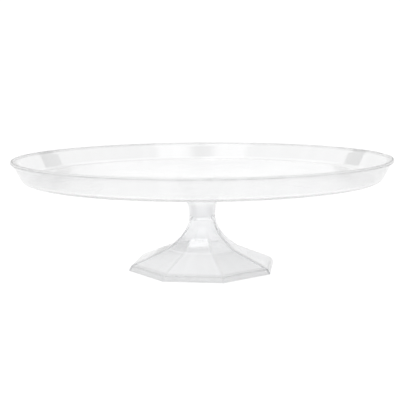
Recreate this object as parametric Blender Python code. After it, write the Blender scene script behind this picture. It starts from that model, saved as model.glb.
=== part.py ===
"""Clear plastic cake stand: a round dish with a flared wall on a hollow octagonal pedestal.

The dish carries a trumpet-shaped collar under its floor. The collar drops over an octagonal
spigot on top of the pedestal, so the dish lifts straight up off the pedestal and cannot turn.

Units are metres and +Z is up. The origin is on the table, on the axis of the stand. The radii of
the octagonal pieces are measured to their corners, and one flat faces along each of X and Y.
"""

from math import cos, pi, radians, sin, tan

import bmesh
import bpy
from mathutils import Matrix, Vector
from mathutils.geometry import interpolate_bezier

STAND_HEIGHT = 0.105
GAP = 0.0003  # clearance between neighbouring pieces

# Dish
DISH_SIDES = 96
RIM_RADIUS = 0.175
DISH_DEPTH = 0.0196
WALL_FOOT_RADIUS = 0.1649  # where the outside of the wall meets the underside
FLOOR_THICKNESS = 0.002
WALL_THICKNESS = 0.0018
WALL_FLARE = radians(27)  # from the vertical
LIP_HEIGHT = 0.0027
LIP_WIDTH = 0.0026
LIP_ROUNDING = 0.0008
FOOT_ROUNDING = 0.0015
DISH_FILLET = 0.003
EVEN_WALL_SHARE = 0.8  # of the inner wall, from the floor up; the rest thickens into the lip

# Pedestal and collar
OCTAGON_SIDES = 8
SEAM_HEIGHT = 0.0494  # where the collar stands on the shoulder of the pedestal
NECK_RADIUS = 0.0131
OCTAGON_WALL = 0.0021
SKIRT_RADIUS = 0.0715
SKIRT_TOP_RADIUS = 0.0684
SKIRT_HEIGHT = 0.0052
CREASE_RADIUS = 0.0341
CREASE_HEIGHT = 0.0193
NECK_PULL = 0.0155  # lengths of the handles of the curve from the neck to the crease
CREASE_PULL = 0.0097
CREASE_SLOPE = radians(36.6)  # of that curve where it meets the crease, above the horizontal
FLARE_STEPS = 14
SPIGOT_RADIUS = 0.0107
SPIGOT_LENGTH = 0.008
SPIGOT_WALL = 0.002
SHOULDER_THICKNESS = 0.002
COLLAR_TOP_RADIUS = 0.0259
COLLAR_NECK_PULL = 0.0127
COLLAR_TOP_PULL = 0.0188
COLLAR_SLOPE = radians(66.6)  # above the horizontal, where the collar meets the dish
COLLAR_STEPS = 10

TRAY_UNDERSIDE = STAND_HEIGHT - DISH_DEPTH
FILLET_STEP = radians(22.5)
SMOOTH_UP_TO = radians(30)

# Clear polystyrene
REFRACTIVE_INDEX = 1.59
OPACITY = 0.35
TRAY_TINT, TRAY_ROUGHNESS = (0.95, 0.96, 0.97), 0.08
COLLAR_TINT, COLLAR_ROUGHNESS = (0.93, 0.95, 0.96), 0.06
PEDESTAL_TINT, PEDESTAL_ROUGHNESS = (0.93, 0.95, 0.96), 0.05


def clear_scene():
    for old in list(bpy.data.objects):
        bpy.data.objects.remove(old, do_unlink=True)


def clear_plastic(name, tint, roughness):
    """A colourless moulded plastic, part transparent."""
    material = bpy.data.materials.new(name)
    material.use_nodes = True
    shader = material.node_tree.nodes["Principled BSDF"]
    shader.inputs["Base Color"].default_value = (*tint, 1.0)
    shader.inputs["Roughness"].default_value = roughness
    shader.inputs["Metallic"].default_value = 0.0
    shader.inputs["IOR"].default_value = REFRACTIVE_INDEX
    shader.inputs["Alpha"].default_value = OPACITY
    return material


def fillet(before, corner, after, radius):
    """The points of an arc that rounds the corner between its two neighbours."""
    before, corner, after = Vector(before), Vector(corner), Vector(after)
    towards_before = (before - corner).normalized()
    towards_after = (after - corner).normalized()
    half_angle = towards_before.angle(towards_after) / 2
    bisector = (towards_before + towards_after).normalized()
    centre = corner + bisector * (radius / sin(half_angle))
    spoke = corner + towards_before * (radius / tan(half_angle)) - centre
    end_spoke = corner + towards_after * (radius / tan(half_angle)) - centre
    sweep = -spoke.angle_signed(end_spoke)
    steps = max(2, round(abs(sweep) / FILLET_STEP))
    return [tuple(centre + Matrix.Rotation(sweep * i / steps, 2) @ spoke) for i in range(steps + 1)]


def flare(start, start_pull, end, end_pull, end_slope, steps):
    """A curve that leaves the start vertically, towards the end, and arrives at the end slope.

    end_slope is an angle above the horizontal; the curve widens on its way to the end.
    """
    direction = 1 if end[1] > start[1] else -1
    leaving = (start[0], start[1] + direction * start_pull)
    arriving = (end[0] - end_pull * cos(end_slope), end[1] - direction * end_pull * sin(end_slope))
    knots = [Vector((r, 0, z)) for r, z in (start, leaving, arriving, end)]
    return [(point.x, point.z) for point in interpolate_bezier(*knots, steps + 1)]


def inside_of(outline, wall):
    """The inner points of an open outline, each moved to its left by the wall, mitred."""
    moved = []
    for before, point, after in zip(outline, outline[1:], outline[2:]):
        arriving = (Vector(point) - Vector(before)).normalized()
        leaving = (Vector(after) - Vector(point)).normalized()
        normal = Vector((-arriving.y - leaving.y, arriving.x + leaving.x)).normalized()
        share = normal.dot(Vector((-arriving.y, arriving.x)))
        moved.append(tuple(Vector(point) + normal * (wall / share)))
    return moved


def turned(name, outline, sides, material, parent, height):
    """A closed solid: the (radius, height) outline carried round Z in the given number of sides."""
    first_corner = 0 if sides == DISH_SIDES else pi / sides
    mesh = bpy.data.meshes.new(name)
    shape = bmesh.new()
    turn = Matrix.Rotation(first_corner, 4, "Z")
    ring = [shape.verts.new(turn @ Vector((r, 0, z))) for r, z in outline]
    on_axis = [r == 0 for r, _ in outline]
    edges = [
        shape.edges.new((ring[i - 1], ring[i]))
        for i in range(len(ring))
        if not (on_axis[i - 1] and on_axis[i])
    ]
    bmesh.ops.spin(
        shape, geom=ring + edges, cent=(0, 0, 0), axis=(0, 0, 1), dvec=(0, 0, 0),
        angle=2 * pi, steps=sides, use_merge=True, use_duplicate=False,
    )
    bmesh.ops.remove_doubles(shape, verts=shape.verts, dist=1e-6)
    bmesh.ops.recalc_face_normals(shape, faces=shape.faces)
    shape.to_mesh(mesh)
    shape.free()
    mesh.shade_smooth()
    mesh.set_sharp_from_angle(angle=SMOOTH_UP_TO)
    mesh.materials.append(material)
    obj = bpy.data.objects.new(name, mesh)
    bpy.context.scene.collection.objects.link(obj)
    obj.parent = parent
    obj.location.z = height
    return obj


def empty(name, height, parent=None):
    obj = bpy.data.objects.new(name, None)
    bpy.context.scene.collection.objects.link(obj)
    obj.location.z = height
    obj.parent = parent
    return obj


def tray_outline():
    """Half section of the dish, its underside at height 0."""
    lip_under = DISH_DEPTH - LIP_HEIGHT
    wall_top_outer = WALL_FOOT_RADIUS + lip_under * tan(WALL_FLARE)
    wall_across = WALL_THICKNESS / cos(WALL_FLARE)
    floor_edge = WALL_FOOT_RADIUS + FLOOR_THICKNESS * tan(WALL_FLARE) - wall_across
    lip_inner = RIM_RADIUS - LIP_WIDTH
    wall_top_inner = floor_edge + (lip_inner - floor_edge) * EVEN_WALL_SHARE
    wall_top_height = FLOOR_THICKNESS + (wall_top_inner - floor_edge) / tan(WALL_FLARE)

    axis_low, axis_high = (0, 0), (0, FLOOR_THICKNESS)
    foot = (WALL_FOOT_RADIUS, 0)
    under_lip = (wall_top_outer, lip_under)
    lip_low = (RIM_RADIUS, lip_under)
    lip_high = (RIM_RADIUS, DISH_DEPTH)
    lip_inside = (lip_inner, DISH_DEPTH)
    wall_inside = (wall_top_inner, wall_top_height)
    floor_corner = (floor_edge, FLOOR_THICKNESS)
    return [
        axis_low,
        *fillet(axis_low, foot, under_lip, FOOT_ROUNDING),
        under_lip,
        *fillet(under_lip, lip_low, lip_high, LIP_ROUNDING / 2),
        *fillet(lip_low, lip_high, lip_inside, LIP_ROUNDING),
        *fillet(lip_high, lip_inside, wall_inside, LIP_ROUNDING),
        wall_inside,
        *fillet(wall_inside, floor_corner, axis_high, DISH_FILLET),
        axis_high,
    ]


def collar_outline():
    """Half section of the trumpet under the dish, its lower end at height 0."""
    height = TRAY_UNDERSIDE - SEAM_HEIGHT - 2 * GAP
    socket_radius = SPIGOT_RADIUS + GAP
    socket_top = (socket_radius, SPIGOT_LENGTH + GAP)
    lower_end = (NECK_RADIUS, 0)
    upper_end = (COLLAR_TOP_RADIUS, height)
    outer = flare(lower_end, COLLAR_NECK_PULL, upper_end, COLLAR_TOP_PULL, COLLAR_SLOPE, COLLAR_STEPS)
    inner = [p for p in inside_of(outer, OCTAGON_WALL) if p[1] > socket_top[1] + OCTAGON_WALL]
    upper_inside = (COLLAR_TOP_RADIUS - OCTAGON_WALL / sin(COLLAR_SLOPE), height)
    return [*outer, upper_inside, *reversed(inner), socket_top, (socket_radius, 0)]


def pedestal_outline():
    """Half section of the foot, the neck and the spigot, its lower edge at height 0."""
    neck_top = (NECK_RADIUS, SEAM_HEIGHT)
    crease = (CREASE_RADIUS, CREASE_HEIGHT)
    neck = flare(neck_top, NECK_PULL, crease, CREASE_PULL, CREASE_SLOPE, FLARE_STEPS)
    outer = [(SKIRT_RADIUS, 0), (SKIRT_TOP_RADIUS, SKIRT_HEIGHT), *reversed(neck)]

    bore = SPIGOT_RADIUS - SPIGOT_WALL
    spigot_top = SEAM_HEIGHT + SPIGOT_LENGTH
    under_shoulder = SEAM_HEIGHT - SHOULDER_THICKNESS
    step_radius = NECK_RADIUS - OCTAGON_WALL
    step_height = under_shoulder - (step_radius - bore)
    inner = [p for p in inside_of(outer, OCTAGON_WALL) if p[1] < step_height]
    return [
        *outer,
        (SPIGOT_RADIUS, SEAM_HEIGHT),
        (SPIGOT_RADIUS, spigot_top),
        (bore, spigot_top),
        (bore, under_shoulder),
        (step_radius, step_height),
        *reversed(inner),
        (SKIRT_RADIUS - OCTAGON_WALL, 0),
    ]


def main():
    clear_scene()
    stand = empty("stand", 0)
    lifting = empty("tray_lift", SEAM_HEIGHT, stand)

    pedestal_plastic = clear_plastic("clear_pedestal", PEDESTAL_TINT, PEDESTAL_ROUGHNESS)
    collar_plastic = clear_plastic("clear_collar", COLLAR_TINT, COLLAR_ROUGHNESS)
    tray_plastic = clear_plastic("clear_tray", TRAY_TINT, TRAY_ROUGHNESS)

    turned("pedestal", pedestal_outline(), OCTAGON_SIDES, pedestal_plastic, stand, 0)
    turned("tray_collar", collar_outline(), OCTAGON_SIDES, collar_plastic, lifting, GAP)
    tray_height = TRAY_UNDERSIDE - SEAM_HEIGHT
    turned("tray", tray_outline(), DISH_SIDES, tray_plastic, lifting, tray_height)
    bpy.context.view_layer.update()


main()
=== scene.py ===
"""Looks for the clear plastic cake stand: finely moulded shells, clear plastic, a pale table and studio light."""

from math import ceil, cos, degrees, pi, radians, sin, tan
from typing import NamedTuple

import bmesh
import bpy
from mathutils import Matrix, Vector
from mathutils.geometry import interpolate_bezier


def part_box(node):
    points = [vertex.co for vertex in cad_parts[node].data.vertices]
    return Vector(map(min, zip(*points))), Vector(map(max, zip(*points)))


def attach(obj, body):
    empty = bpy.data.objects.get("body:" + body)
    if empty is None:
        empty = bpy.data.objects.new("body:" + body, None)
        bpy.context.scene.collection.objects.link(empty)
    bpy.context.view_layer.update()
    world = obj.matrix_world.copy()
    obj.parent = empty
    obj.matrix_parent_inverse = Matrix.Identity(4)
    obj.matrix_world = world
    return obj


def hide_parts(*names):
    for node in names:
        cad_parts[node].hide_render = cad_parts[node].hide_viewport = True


MM = 0.001

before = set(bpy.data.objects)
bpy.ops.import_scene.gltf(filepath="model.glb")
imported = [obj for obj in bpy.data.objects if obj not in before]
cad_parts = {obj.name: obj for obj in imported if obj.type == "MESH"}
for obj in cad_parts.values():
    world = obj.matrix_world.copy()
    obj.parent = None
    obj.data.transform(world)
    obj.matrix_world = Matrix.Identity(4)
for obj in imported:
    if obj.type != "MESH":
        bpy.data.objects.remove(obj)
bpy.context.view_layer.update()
tray_low, tray_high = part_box("tray")
collar_low, collar_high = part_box("tray_collar")
pedestal_low, pedestal_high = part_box("pedestal")

CORNER = pi / 8  # half of one side of the octagon, seen from the axis

# Dish, from the frame and from how such dishes are moulded
RIM_RADIUS = tray_high.x
UNDERSIDE = tray_low.z
RIM_HEIGHT = tray_high.z
WALL_FOOT_RADIUS = 164.9 * MM  # where the outside of the wall meets the underside
FLOOR_THICKNESS = 2.0 * MM
WALL_THICKNESS = 1.8 * MM
WALL_FLARE = radians(27)  # from the vertical
EVEN_WALL_SHARE = 0.8  # of the inner wall, from the floor up; the rest thickens into the lip
LIP_HEIGHT = 2.7 * MM
LIP_WIDTH = 2.6 * MM
CAP_RADIUS = 1 * MM  # of the two flat caps that close the dish on its axis
GATE_RADIUS = 2.2 * MM  # of the mark that the mould's gate leaves in the middle of the underside
GATE_HEIGHT = 0.25 * MM
GATE_ROUNDING = 0.1 * MM
WALL_FOOT_ROUNDING = 5 * MM
UNDER_LIP_ROUNDING = 0.25 * MM
LIP_LOW_ROUNDING = 0.5 * MM
LIP_ROUNDING = 0.9 * MM
INNER_WALL_ROUNDING = 4 * MM
DISH_FILLET = 3 * MM
DISH_SIDES = 288

# Pedestal and collar; octagon radii are to the corners, slopes are above the horizontal, and a pull is the
# length of a handle of the outline's curve
SKIRT_RADIUS = pedestal_high.x / cos(CORNER)
SEAM_HEIGHT = collar_low.z
SPIGOT_TOP = pedestal_high.z
COLLAR_TOP = collar_high.z
COLLAR_TOP_RADIUS = collar_high.x / cos(CORNER)
COLLAR_NECK_PULL = 12.7 * MM
COLLAR_TOP_PULL = 18.8 * MM
COLLAR_SLOPE = radians(66.6)
COLLAR_STEPS = 30
NECK_RADIUS = 13.1 * MM
NECK_PULL = 15.5 * MM
NECK_STEPS = 40
SKIRT_TOP_RADIUS = 68.4 * MM
SKIRT_HEIGHT = 5.2 * MM
CREASE_RADIUS = 34.1 * MM
CREASE_HEIGHT = 19.3 * MM
CREASE_PULL = 9.7 * MM
CREASE_SLOPE = radians(36.6)
OCTAGON_WALL = 2.1 * MM
SHOULDER_THICKNESS = 1.4 * MM
SPIGOT_RADIUS = 10.7 * MM
SPIGOT_WALL = 2.0 * MM
GAP = 0.3 * MM
MOUTH_HEIGHT = 3.5 * MM  # of the wider lower end of the collar's socket
MOUTH_STEP = 0.5 * MM
SEAM_ROUNDING = 0.25 * MM
MOUTH_ROUNDING = 0.15 * MM
INNER_ROUNDING = 0.3 * MM
SPIGOT_ROUNDING = 0.4 * MM
STEP_ROUNDING = 1 * MM
STEP_CLEARANCE = 0.7 * MM  # from the step inside the neck down to the curve of the inner wall
CREASE_ROUNDING = 1.2 * MM
SKIRT_TOP_ROUNDING = 1 * MM
SKIRT_FOOT_ROUNDING = 0.7 * MM
EDGE_ROUNDING = 1 * MM  # the octagon's edges at the foot and the crease
NECK_ROUNDING = 5 * MM  # the same edges where the neck is narrowest
EDGE_STEPS = 6
ARC_STEP = radians(7.5)

# Wear, with painted shade laid on the same edges, where 1 is fully scuffed and darkest
WEAR_AND_SHADE_MARGIN = 1.2 * MM  # how far wear and its painted shade run from an edge into the flat beside it
LONGEST_MARGIN = 0.4  # of the flat's own width
LIGHT_WEAR_AND_SHADE = 0.3
SOCKET_WEAR_AND_SHADE = 0.6

# Plastic; noise scales are per metre, heights are of the bumps, and haze is roughness of the body
NOISE_RANGE = (0.3, 0.7)  # where most of a noise's values lie
CLOUD_SCALE = 35.0
RUB_SCALE = 260.0
RUB_RANGE = (0.3, 0.6)
RUB_LEAST = 0.65
GRAIN_SCALE = 1100.0
FLOW_SCALE = 1.6
FLOW_RAYS = (5, 5, 5)
FLOW_RINGS = 12
FLOW_TONES = (0.988, 1.006)
# painted shade: the tone left where an edge is fully worn, darkening the edges
PAINTED_EDGE_SHADE = 0.93
TONE_CHANGE = 0.3 * MM  # half the height over which a painted shade band's tone changes
SCRATCH_STRETCH = (22, 1500, 1)
SCRATCH_RANGE = (0.68, 0.78)
SCRATCH_TURNS = (0.3, 1.2, 2.3)
UPWARD_RANGE = (0.9, 0.98)  # of the normal's upward part, from not facing up to facing up
HAZE_SPREAD = 0.15
GRAIN_HAZE = 0.03
WORN_HAZE = 0.12
MARK_HAZE = 0.2
GLOSS_BLUR = (0.02, 0.05)
UPWARD_BLUR = 0.2
FLOW_HEIGHT = 0.03 * MM
GRAIN_HEIGHT = 0.0008 * MM
SCUFF_HEIGHT = 0.01 * MM
MARK_SHARE = 0.1  # of a scuff's height
ABSORPTION_COLOUR = (0.0, 0.06, 0.16, 1)

# Table and background
WHITE = (1, 1, 1, 1)
TABLE_RADIUS = 6
TABLE_SIDES = 96
TABLE_DROP = 0.2 * MM
TABLE_TONE = (0.1, 0.1, 0.1, 1)
TABLE_ROUGHNESS = 0.9
TABLE_GLOW = 0.82  # towards the stand; straight to the camera it is 1
BACKGROUND_GLOW = 1.1  # straight to the camera

# The studio round the stand, seen from it: azimuth from straight behind towards the right, elevation, edge
# softness, all in degrees, and how bright it is. Later rows cover earlier ones.
STUDIO = (
    (-180, 180, -95, 95, 1, 0.95),  # pale room
    (-180, 180, 28, 58, 6, 2.0),  # softbox behind the camera
    (-36, 36, -20, 24, 4, 1.0),  # backdrop
    (-9, 11, 4, 24, 3, 1.14),  # its bright middle
    (-30, 30, -10, 3, 2, 0.7),  # its foot
    (-35, 2, 26, 56, 6, 0.8),  # above the backdrop, left
    (2, 35, 26, 56, 6, 0.35),  # above the backdrop, right
    (36, 142, -5, 52, 4, 1.05),  # right softbox
    (-142, -36, -5, 52, 4, 1.25),  # left softbox
    (42, 59, 16, 42, 1, 0.0),  # gap beside the right softbox
    (-57, -42, 16, 42, 1, 0.0),  # gap beside the left softbox
    (-180, 180, 55, 95, 4, 0.75),  # ceiling
    (-180, -95, 68, 82, 2, 4.3),  # overhead lamp
)
CAMERA_SIDE = (10, 42, 58, 7, 0.4)  # half width, elevations, softness and glow of what stands at the camera

# Camera, fitted to the outlines of the dish and the foot
CAMERA_AZIMUTH = radians(7.71)
CAMERA_DISTANCE = 786 * MM
CAMERA_HEIGHT = 177.4 * MM
CAMERA_PITCH = radians(8.23)
CAMERA_YAW = radians(0.16)
CAMERA_ROLL = radians(-0.38)
CAMERA_LENS = 76.05
SENSOR_WIDTH = 36
CLIP_NEAR, CLIP_FAR = 0.05, 50

WALL_BOUNCES = 128
DIFFUSE_BOUNCES = 2
FILTER_WIDTH = 2


class Corner(NamedTuple):
    """A corner of an outline; with how scuffed it is and how much painted shade darkens it, and the same for the
    octagon's own edges there.
    """

    radius: float
    height: float
    rounding: float = 0
    worn_and_shaded: float = 0
    edges: float = 0


class Plastic(NamedTuple):
    """The look of one moulding; its painted shade is a height and the shares of the tone that are left below and
    above it.
    """

    tint: tuple
    haze: float
    refraction: float
    gloss: float = 1.5  # index of refraction of its glossy skin
    inner_gloss: float = 0.0  # share of that gloss on surfaces seen from inside the plastic
    absorption: float = 0.0  # per metre
    # painted shade: the tone darkened below or above a height
    painted_shade: tuple = ()
    marked: bool = False  # with use marks and a duller gloss where it faces up


class Surface(NamedTuple):
    """What a moulding's surface carries: each an output of a shader node, or 0 where there is none of it."""

    height: object  # above the table
    flow: object
    cloud: object
    grain: object
    rub: object  # where it has been rubbed unevenly
    # wear, which also carries the painted shade on the edges
    worn_and_shaded: object
    upward: object  # 1 where it faces up
    marks: object


# Painted shade: the dish is darker above its floor, the pedestal's skirt darker below its top
TRAY_PLASTIC = Plastic(
    tint=(0.975, 0.977, 0.98), haze=0.12, refraction=1.12, gloss=1.75,
    painted_shade=(UNDERSIDE + 4 * MM, 1, 0.93), marked=True,
)
COLLAR_PLASTIC = Plastic(tint=(0.99, 0.99, 0.99), haze=0.28, refraction=1.1, absorption=5)
PEDESTAL_PLASTIC = Plastic(
    tint=(0.975, 0.978, 0.984), haze=0.2, refraction=1.2, inner_gloss=0.06,
    painted_shade=(SKIRT_HEIGHT, 0.82, 1), absorption=4,
)


def fillet(before, corner, after, radius):
    """The points of an arc that rounds a corner of an outline."""
    before, corner, after = Vector(before), Vector(corner), Vector(after)
    towards_before = (before - corner).normalized()
    towards_after = (after - corner).normalized()
    half_angle = towards_before.angle(towards_after) / 2
    bisector = (towards_before + towards_after).normalized()
    centre = corner + bisector * (radius / sin(half_angle))
    spoke = corner + towards_before * (radius / tan(half_angle)) - centre
    end_spoke = corner + towards_after * (radius / tan(half_angle)) - centre
    sweep = -spoke.angle_signed(end_spoke)
    steps = max(2, ceil(abs(sweep) / ARC_STEP))
    return [tuple(centre + Matrix.Rotation(sweep * i / steps, 2) @ spoke) for i in range(steps + 1)]


def towards(start, end, distance):
    """A point on the way from start to end, never too far along a short way."""
    way = Vector(end) - Vector(start)
    return tuple(Vector(start) + way.normalized() * min(distance, way.length * LONGEST_MARGIN))


def rounded(corners):
    """A closed outline of (radius, height, wear and painted shade, the same on the octagon's edges) points from
    its corners.

    A worn corner is worn and painted darker all over its rounding, and both fade out over a narrow margin on
    either side.
    """
    outline = []
    for i, corner in enumerate(corners):
        here = (corner.radius, corner.height)
        if not corner.rounding:
            outline.append((*here, 0, corner.edges))
            continue
        before, after = corners[i - 1], corners[(i + 1) % len(corners)]
        before, after = (before.radius, before.height), (after.radius, after.height)
        arc = fillet(before, here, after, corner.rounding)
        if corner.worn_and_shaded:
            outline.append((*towards(arc[0], before, WEAR_AND_SHADE_MARGIN), 0, corner.edges))
        outline += [(r, z, corner.worn_and_shaded, corner.edges) for r, z in arc]
        if corner.worn_and_shaded:
            outline.append((*towards(arc[-1], after, WEAR_AND_SHADE_MARGIN), 0, corner.edges))
    return outline


def flare(start, start_pull, end, end_pull, end_slope, steps):
    """A curve that leaves the start vertically, towards the end, and arrives at the end slope."""
    direction = 1 if end[1] > start[1] else -1
    leaving = (start[0], start[1] + direction * start_pull)
    arriving = (end[0] - end_pull * cos(end_slope), end[1] - direction * end_pull * sin(end_slope))
    knots = [Vector((r, 0, z)) for r, z in (start, leaving, arriving, end)]
    return [(point.x, point.z) for point in interpolate_bezier(*knots, steps + 1)]


def inside_of(outline, wall):
    """The inner points of an open outline, each moved to its left by the wall, mitred."""
    moved = []
    for before, point, after in zip(outline, outline[1:], outline[2:]):
        arriving = (Vector(point) - Vector(before)).normalized()
        leaving = (Vector(after) - Vector(point)).normalized()
        normal = Vector((-arriving.y - leaving.y, arriving.x + leaving.x)).normalized()
        share = normal.dot(Vector((-arriving.y, arriving.x)))
        moved.append(tuple(Vector(point) + normal * (wall / share)))
    return moved


def circle(radius, height, wear_and_shade, _):
    """One ring of the dish: its points and how worn and darkened by painted shade each is."""
    turns = [2 * pi * i / DISH_SIDES for i in range(DISH_SIDES)]
    return [(Vector((radius * cos(turn), radius * sin(turn), height)), wear_and_shade) for turn in turns]


def crispness(height):
    """How crisp the octagon's edges are: 0 at the seam, 1 from the crease down and as far above the seam."""
    return min(1, abs(height - SEAM_HEIGHT) / (SEAM_HEIGHT - CREASE_HEIGHT))


def octagon(radius, height, wear_and_shade, edge_wear_and_shade):
    """One ring of an octagonal piece: flat sides joined by arcs, each point with how worn and darkened by painted
    shade it is.
    """
    rounding = NECK_ROUNDING + (EDGE_ROUNDING - NECK_ROUNDING) * crispness(height)
    inset = rounding / cos(CORNER)
    ring = []
    for side in range(8):
        middle = CORNER + side * 2 * CORNER
        centre = Vector(((radius - inset) * cos(middle), (radius - inset) * sin(middle), height))
        arc = []
        for i in range(EDGE_STEPS + 1):
            angle = middle + CORNER * (2 * i / EDGE_STEPS - 1)
            spoke = Vector((rounding * cos(angle), rounding * sin(angle), 0))
            arc.append((centre + spoke, max(wear_and_shade, edge_wear_and_shade * crispness(height))))
        first, last = middle - CORNER, middle + CORNER
        ring.append((arc[0][0] + Vector((sin(first), -cos(first), 0)) * WEAR_AND_SHADE_MARGIN, wear_and_shade))
        ring += arc
        ring.append((arc[-1][0] + Vector((-sin(last), cos(last), 0)) * WEAR_AND_SHADE_MARGIN, wear_and_shade))
    return ring


def loft(rings, closed):
    """Quads from ring to ring, closed into a tube or capped at both ends."""
    shape = bmesh.new()
    loops = [[shape.verts.new(point) for point, _ in ring] for ring in rings]
    count = len(loops[0])
    for low, high in list(zip(loops, loops[1:])) + ([(loops[-1], loops[0])] if closed else []):
        for i in range(count):
            j = (i + 1) % count
            shape.faces.new((low[i], low[j], high[j], high[i]))
    if not closed:
        shape.faces.new(loops[0])
        shape.faces.new(loops[-1])
    bmesh.ops.recalc_face_normals(shape, faces=shape.faces)
    return shape


def moulding(name, rings, body, node, material, closed):
    """A piece of the stand: a lofted mesh that replaces one node of the frame and rides on its body."""
    shape = loft(rings, closed)
    mesh = bpy.data.meshes.new(name)
    shape.to_mesh(mesh)
    shape.free()
    mesh.shade_smooth()
    worn_and_shaded = mesh.attributes.new("wear_and_shade", "FLOAT", "POINT")
    worn_and_shaded.data.foreach_set("value", [wear_and_shade for ring in rings for _, wear_and_shade in ring])
    mesh.materials.append(material)
    piece = bpy.data.objects.new(name, mesh)
    bpy.context.scene.collection.objects.link(piece)
    even = piece.modifiers.new("even_shading", "WEIGHTED_NORMAL")
    even.mode = "FACE_AREA"
    even.weight = 100
    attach(piece, body)
    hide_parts(node)


def tray_outline():
    """Half section of the dish, from the axis under the floor, round the lip and back to the axis."""
    depth = RIM_HEIGHT - UNDERSIDE
    lip_under = depth - LIP_HEIGHT
    wall_across = WALL_THICKNESS / cos(WALL_FLARE)
    floor_edge = WALL_FOOT_RADIUS + FLOOR_THICKNESS * tan(WALL_FLARE) - wall_across
    lip_inner = RIM_RADIUS - LIP_WIDTH
    even_up_to = floor_edge + (lip_inner - floor_edge) * EVEN_WALL_SHARE
    even_height = FLOOR_THICKNESS + (even_up_to - floor_edge) / tan(WALL_FLARE)
    corners = [
        Corner(GATE_RADIUS, 0, GATE_ROUNDING),
        Corner(WALL_FOOT_RADIUS, 0, WALL_FOOT_ROUNDING, worn_and_shaded=LIGHT_WEAR_AND_SHADE),
        Corner(WALL_FOOT_RADIUS + lip_under * tan(WALL_FLARE), lip_under, UNDER_LIP_ROUNDING),
        Corner(RIM_RADIUS, lip_under, LIP_LOW_ROUNDING, worn_and_shaded=1),
        Corner(RIM_RADIUS, depth, LIP_ROUNDING, worn_and_shaded=1),
        Corner(lip_inner, depth, LIP_ROUNDING, worn_and_shaded=1),
        Corner(even_up_to, even_height, INNER_WALL_ROUNDING),
        Corner(floor_edge, FLOOR_THICKNESS, DISH_FILLET),
        Corner(CAP_RADIUS, FLOOR_THICKNESS),
        Corner(CAP_RADIUS, -GATE_HEIGHT),
        Corner(GATE_RADIUS, -GATE_HEIGHT, GATE_ROUNDING),
    ]
    return [(r, z + UNDERSIDE, wear_and_shade, edges) for r, z, wear_and_shade, edges in rounded(corners)]


def build_tray(material):
    outline = tray_outline()
    # the loop is opened between the two small rings beside the axis, which are capped
    cut = next(i for i, point in enumerate(outline) if point[0] == CAP_RADIUS) + 1
    rings = [circle(*point) for point in outline[cut:] + outline[:cut]]
    moulding("tray_moulding", rings, "tray", "tray", material, closed=False)


def along(points, edges=0):
    """Outline points that keep no rounding."""
    return [Corner(r, z, edges=edges) for r, z in points]


def build_collar(material):
    lower_end, upper_end = (NECK_RADIUS, SEAM_HEIGHT), (COLLAR_TOP_RADIUS, COLLAR_TOP)
    outer = flare(lower_end, COLLAR_NECK_PULL, upper_end, COLLAR_TOP_PULL, COLLAR_SLOPE, COLLAR_STEPS)
    socket = SPIGOT_RADIUS + GAP
    socket_top = SPIGOT_TOP + 2 * GAP
    mouth_top = SEAM_HEIGHT + MOUTH_HEIGHT
    inner = [p for p in inside_of(outer, OCTAGON_WALL) if p[1] > socket_top + OCTAGON_WALL]
    corners = [
        Corner(*outer[0], SEAM_ROUNDING, worn_and_shaded=1, edges=1),
        *along(outer[1:], edges=1),
        Corner(COLLAR_TOP_RADIUS - OCTAGON_WALL / sin(COLLAR_SLOPE), COLLAR_TOP),
        *along(reversed(inner)),
        Corner(socket, socket_top, INNER_ROUNDING),
        Corner(socket, mouth_top, MOUTH_ROUNDING, worn_and_shaded=SOCKET_WEAR_AND_SHADE),
        Corner(socket + MOUTH_STEP, mouth_top, MOUTH_ROUNDING, worn_and_shaded=SOCKET_WEAR_AND_SHADE),
        Corner(socket + MOUTH_STEP, SEAM_HEIGHT, SEAM_ROUNDING),
    ]
    rings = [octagon(*point) for point in rounded(corners)]
    moulding("collar_moulding", rings, "tray", "tray_collar", material, closed=True)


def build_pedestal(material):
    shoulder = SEAM_HEIGHT - GAP
    crease = (CREASE_RADIUS, CREASE_HEIGHT)
    neck = flare((NECK_RADIUS, shoulder), NECK_PULL, crease, CREASE_PULL, CREASE_SLOPE, NECK_STEPS)[::-1]
    skirt_top = (SKIRT_TOP_RADIUS, SKIRT_HEIGHT)
    bore = SPIGOT_RADIUS - SPIGOT_WALL
    under_shoulder = shoulder - SHOULDER_THICKNESS
    step_radius = NECK_RADIUS - OCTAGON_WALL
    step_height = under_shoulder - (step_radius - bore)
    inner = inside_of([(SKIRT_RADIUS, 0), skirt_top, *neck], OCTAGON_WALL)
    inner = [p for p in inner if p[1] < step_height - STEP_CLEARANCE]
    corners = [
        Corner(SKIRT_RADIUS, 0, SKIRT_FOOT_ROUNDING, worn_and_shaded=1, edges=1),
        Corner(*skirt_top, SKIRT_TOP_ROUNDING, worn_and_shaded=1, edges=1),
        Corner(*crease, CREASE_ROUNDING, edges=1),
        *along(neck[1:-1], edges=1),
        Corner(*neck[-1], SEAM_ROUNDING, worn_and_shaded=1, edges=1),
        Corner(SPIGOT_RADIUS, shoulder, SEAM_ROUNDING),
        Corner(SPIGOT_RADIUS, SPIGOT_TOP, SPIGOT_ROUNDING, worn_and_shaded=LIGHT_WEAR_AND_SHADE),
        Corner(bore, SPIGOT_TOP, INNER_ROUNDING),
        Corner(bore, under_shoulder, STEP_ROUNDING, worn_and_shaded=1),
        Corner(step_radius, step_height, STEP_ROUNDING, worn_and_shaded=1),
        *along(reversed(inner[2:])),
        Corner(*inner[1], CREASE_ROUNDING),
        Corner(*inner[0], SKIRT_FOOT_ROUNDING),
        Corner(SKIRT_RADIUS - OCTAGON_WALL, 0, INNER_ROUNDING),
    ]
    rings = [octagon(*point) for point in rounded(corners)]
    moulding("pedestal_moulding", rings, "pedestal", "pedestal", material, closed=True)


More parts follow.
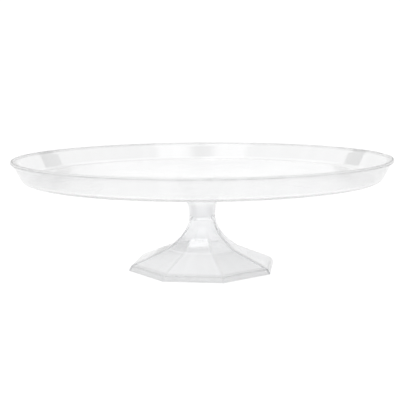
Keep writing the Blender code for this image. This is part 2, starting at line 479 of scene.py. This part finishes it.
def add(tree, kind, inputs, output=0, **settings):
    """Adds a shader node; an input is a value or another node's output. Returns the chosen output."""
    node = tree.nodes.new("ShaderNode" + kind)
    for name, value in settings.items():
        setattr(node, name, value)
    for name, value in inputs.items():
        if isinstance(value, bpy.types.NodeSocket):
            tree.links.new(value, node.inputs[name])
        else:
            node.inputs[name].default_value = value
    return node.outputs[output]


def reckon(tree, operation, first, second=0.0):
    """The result of one operation on two numbers or outputs."""
    return add(tree, "Math", {0: first, 1: second}, operation=operation)


def plus(tree, start, *terms):
    """The start and the products of each (output, weight) pair, added up."""
    for output, weight in terms:
        start = reckon(tree, "ADD", start, reckon(tree, "MULTIPLY", output, weight))
    return start


def ramp(tree, value, low, high, low_result, high_result):
    """A smooth change between two results as the value goes from low to high."""
    inputs = {"Value": value, "From Min": low, "From Max": high, "To Min": low_result, "To Max": high_result}
    return add(tree, "MapRange", inputs, interpolation_type="SMOOTHSTEP")


def band(tree, value, low, high, soft):
    """1 where the value lies between low and high, with soft edges."""
    rising = ramp(tree, value, low - soft, low + soft, 0, 1)
    falling = ramp(tree, value, high - soft, high + soft, 0, 1)
    return reckon(tree, "SUBTRACT", rising, falling)


def shaded(tree, colour, share):
    """A colour made darker: multiplied by a number or an output."""
    return add(tree, "VectorMath", {0: colour, "Scale": share}, operation="SCALE")


def streaks(tree, place, turn, seed):
    """Sparse hairline scratches that all run one way."""
    turned = add(tree, "VectorRotate", {"Vector": place, "Angle": turn}, rotation_type="Z_AXIS")
    stretched = add(tree, "VectorMath", {0: turned, 1: SCRATCH_STRETCH}, operation="MULTIPLY")
    inputs = {"Vector": stretched, "W": seed, "Scale": 1.0, "Detail": 1.0}
    return ramp(tree, add(tree, "TexNoise", inputs, noise_dimensions="4D"), *SCRATCH_RANGE, 0, 1)


def use_marks(tree, place, upward):
    """Hairlines that knives and cake slices leave, only on what faces up."""
    marks = 0.0
    for i, turn in enumerate(SCRATCH_TURNS):
        marks = reckon(tree, "MAXIMUM", marks, streaks(tree, place, turn, i + 1.0))
    return reckon(tree, "MULTIPLY", marks, upward)


def flow_lines(tree, place):
    """Faint bands that run outwards from the gate in the middle, as the plastic filled the mould."""
    flat = add(tree, "VectorMath", {0: place, 1: (1, 1, 0)}, operation="MULTIPLY")
    outwards = add(tree, "VectorMath", {0: flat}, operation="NORMALIZE")
    reach = add(tree, "VectorMath", {0: place, "Scale": FLOW_RINGS}, operation="SCALE")
    mixed = add(tree, "VectorMath", {0: outwards, 1: FLOW_RAYS, 2: reach}, operation="MULTIPLY_ADD")
    return add(tree, "TexNoise", {"Vector": mixed, "Scale": FLOW_SCALE, "Detail": 3.0, "Roughness": 0.45})


def surface(tree, marked):
    """What a moulding's surface carries."""
    place = add(tree, "TexCoord", {}, output="Object")
    rub = add(tree, "TexNoise", {"Vector": place, "Scale": RUB_SCALE, "Detail": 4.0, "Roughness": 0.65})
    wear_and_shade = add(tree, "Attribute", {}, output="Fac", attribute_name="wear_and_shade")
    upward = marks = 0.0
    if marked:
        normal = add(tree, "NewGeometry", {}, output="Normal")
        upward = ramp(tree, add(tree, "SeparateXYZ", {"Vector": normal}, output="Z"), *UPWARD_RANGE, 0, 1)
        marks = use_marks(tree, place, upward)
    return Surface(
        height=add(tree, "SeparateXYZ", {"Vector": place}, output="Z"),
        flow=flow_lines(tree, place),
        cloud=add(tree, "TexNoise", {"Vector": place, "Scale": CLOUD_SCALE, "Detail": 3.0}),
        grain=add(tree, "TexNoise", {"Vector": place, "Scale": GRAIN_SCALE, "Detail": 2.0}),
        rub=rub,
        worn_and_shaded=reckon(tree, "MULTIPLY", wear_and_shade, ramp(tree, rub, *RUB_RANGE, RUB_LEAST, 1)),
        upward=upward,
        marks=marks,
    )


def body_colour(tree, plastic, face):
    """The tint, a little uneven along the flow, with painted shade: darker at the edges and below or above a
    given height.
    """
    colour = shaded(tree, plastic.tint, ramp(tree, face.flow, *NOISE_RANGE, *FLOW_TONES))
    # painted shade along the edges, laid on the wear mask
    colour = shaded(tree, colour, ramp(tree, face.worn_and_shaded, 0, 1, 1, PAINTED_EDGE_SHADE))
    # painted shade: darker below or above a given height
    if plastic.painted_shade:
        middle, *shares = plastic.painted_shade
        change = ramp(tree, face.height, middle - TONE_CHANGE, middle + TONE_CHANGE, *shares)
        colour = shaded(tree, colour, change)
    return colour


def body_haze(tree, plastic, face):
    """Cloudy haze, with fine grain in it, and rougher where the surface is worn or marked."""
    least, most = plastic.haze * (1 - HAZE_SPREAD), plastic.haze * (1 + HAZE_SPREAD)
    haze = ramp(tree, face.cloud, *NOISE_RANGE, least, most)
    return plus(tree, haze, (face.grain, GRAIN_HAZE), (face.worn_and_shaded, WORN_HAZE), (face.marks, MARK_HAZE))


def relief(tree, face):
    """The normal over flow waves, grain, scuffs and use marks."""
    scuffs = plus(tree, reckon(tree, "MULTIPLY", face.worn_and_shaded, face.rub), (face.marks, -MARK_SHARE))
    normal = {}
    for output, height in ((face.flow, FLOW_HEIGHT), (face.grain, GRAIN_HEIGHT), (scuffs, SCUFF_HEIGHT)):
        inputs = {"Strength": 1.0, "Distance": height, "Height": output, **normal}
        normal = {"Normal": add(tree, "Bump", inputs)}
    return normal["Normal"]


def clear_plastic(name, plastic):
    """Clear moulded plastic: a hazy body under a sharp gloss, with flow bands, fine grain and scuffed edges
    painted darker.
    """
    material = bpy.data.materials.new(name)
    material.use_nodes = True
    tree = material.node_tree
    face = surface(tree, plastic.marked)
    inside = add(tree, "NewGeometry", {}, output="Backfacing")
    shader = tree.nodes["Principled BSDF"]
    shader.inputs["IOR"].default_value = plastic.refraction
    shader.inputs["Transmission Weight"].default_value = 1
    shader.inputs["Coat IOR"].default_value = plastic.gloss
    for socket, output in {
        "Base Color": body_colour(tree, plastic, face),
        "Roughness": body_haze(tree, plastic, face),
        "Normal": relief(tree, face),
        "Coat Weight": ramp(tree, inside, 0, 1, 1, plastic.inner_gloss),
        "Coat Roughness": plus(tree, ramp(tree, face.rub, *NOISE_RANGE, *GLOSS_BLUR), (face.upward, UPWARD_BLUR)),
    }.items():
        tree.links.new(output, shader.inputs[socket])
    if plastic.absorption:
        absorbed = add(tree, "VolumeAbsorption", {"Color": ABSORPTION_COLOUR, "Density": plastic.absorption})
        tree.links.new(absorbed, tree.nodes["Material Output"].inputs["Volume"])
    return material


def table_material():
    """Matt and pale, and glowing a little so that it meets the white background."""
    material = bpy.data.materials.new("pale_table")
    material.use_nodes = True
    tree = material.node_tree
    seen = add(tree, "LightPath", {}, output="Is Camera Ray")
    shader = tree.nodes["Principled BSDF"]
    shader.inputs["Base Color"].default_value = TABLE_TONE
    shader.inputs["Roughness"].default_value = TABLE_ROUGHNESS
    shader.inputs["Emission Color"].default_value = WHITE
    tree.links.new(ramp(tree, seen, 0, 1, TABLE_GLOW, 1), shader.inputs["Emission Strength"])
    return material


def build_table():
    mesh = bpy.data.meshes.new("table")
    shape = bmesh.new()
    bmesh.ops.create_circle(shape, cap_ends=True, segments=TABLE_SIDES, radius=TABLE_RADIUS)
    shape.to_mesh(mesh)
    shape.free()
    mesh.materials.append(table_material())
    table = bpy.data.objects.new("table", mesh)
    table.location.z = -TABLE_DROP
    bpy.context.scene.collection.objects.link(table)


def build_light():
    world = bpy.data.worlds.new("studio")
    bpy.context.scene.world = world
    world.use_nodes = True
    tree = world.node_tree
    place = add(tree, "TexCoord", {}, output="Generated")
    square = add(tree, "VectorRotate", {"Vector": place, "Angle": -CAMERA_AZIMUTH}, rotation_type="Z_AXIS")
    x, y, z = add(tree, "SeparateXYZ", {"Vector": square}).node.outputs
    azimuth = reckon(tree, "MULTIPLY", reckon(tree, "ARCTAN2", x, y), degrees(1))
    elevation = reckon(tree, "MULTIPLY", reckon(tree, "ARCSINE", z), degrees(1))
    from_camera = reckon(tree, "SUBTRACT", 180.0, reckon(tree, "ABSOLUTE", azimuth))
    half_width, *rest = CAMERA_SIDE
    areas = [(azimuth, *row) for row in STUDIO] + [(from_camera, -half_width, half_width, *rest)]
    glow = 1.0
    for across, left, right, low, high, soft, brightness in areas:
        columns = band(tree, across, left, right, soft)
        area = reckon(tree, "MULTIPLY", columns, band(tree, elevation, low, high, soft))
        glow = add(tree, "Mix", {"Factor": area, "A": glow, "B": brightness})
    seen = add(tree, "LightPath", {}, output="Is Camera Ray")
    shown = add(tree, "Mix", {"Factor": seen, "A": glow, "B": BACKGROUND_GLOW})
    tree.links.new(shown, tree.nodes["Background"].inputs["Strength"])
    tree.nodes["Background"].inputs["Color"].default_value = WHITE


def build_camera():
    data = bpy.data.cameras.new("camera")
    data.lens = CAMERA_LENS
    data.sensor_width = SENSOR_WIDTH
    data.clip_start, data.clip_end = CLIP_NEAR, CLIP_FAR
    camera = bpy.data.objects.new("camera", data)
    bpy.context.scene.collection.objects.link(camera)
    across, back = CAMERA_DISTANCE * sin(CAMERA_AZIMUTH), CAMERA_DISTANCE * cos(CAMERA_AZIMUTH)
    camera.matrix_world = (
        Matrix.Translation(Vector((across, -back, CAMERA_HEIGHT)))
        @ Matrix.Rotation(CAMERA_AZIMUTH + CAMERA_YAW, 4, "Z")
        @ Matrix.Rotation(pi / 2 - CAMERA_PITCH, 4, "X")
        @ Matrix.Rotation(CAMERA_ROLL, 4, "Z")
    )
    bpy.context.scene.camera = camera


def set_render():
    """Plain colours, and enough bounces for light to cross many thin walls."""
    bpy.context.scene.view_settings.view_transform = "Standard"
    cycles = bpy.context.scene.cycles
    cycles.max_bounces = cycles.transmission_bounces = cycles.glossy_bounces = WALL_BOUNCES
    cycles.diffuse_bounces = DIFFUSE_BOUNCES
    cycles.filter_width = FILTER_WIDTH


build_camera()
build_table()
build_light()
build_tray(clear_plastic("clear_tray_plastic", TRAY_PLASTIC))
build_collar(clear_plastic("clear_collar_plastic", COLLAR_PLASTIC))
build_pedestal(clear_plastic("clear_pedestal_plastic", PEDESTAL_PLASTIC))
set_render()
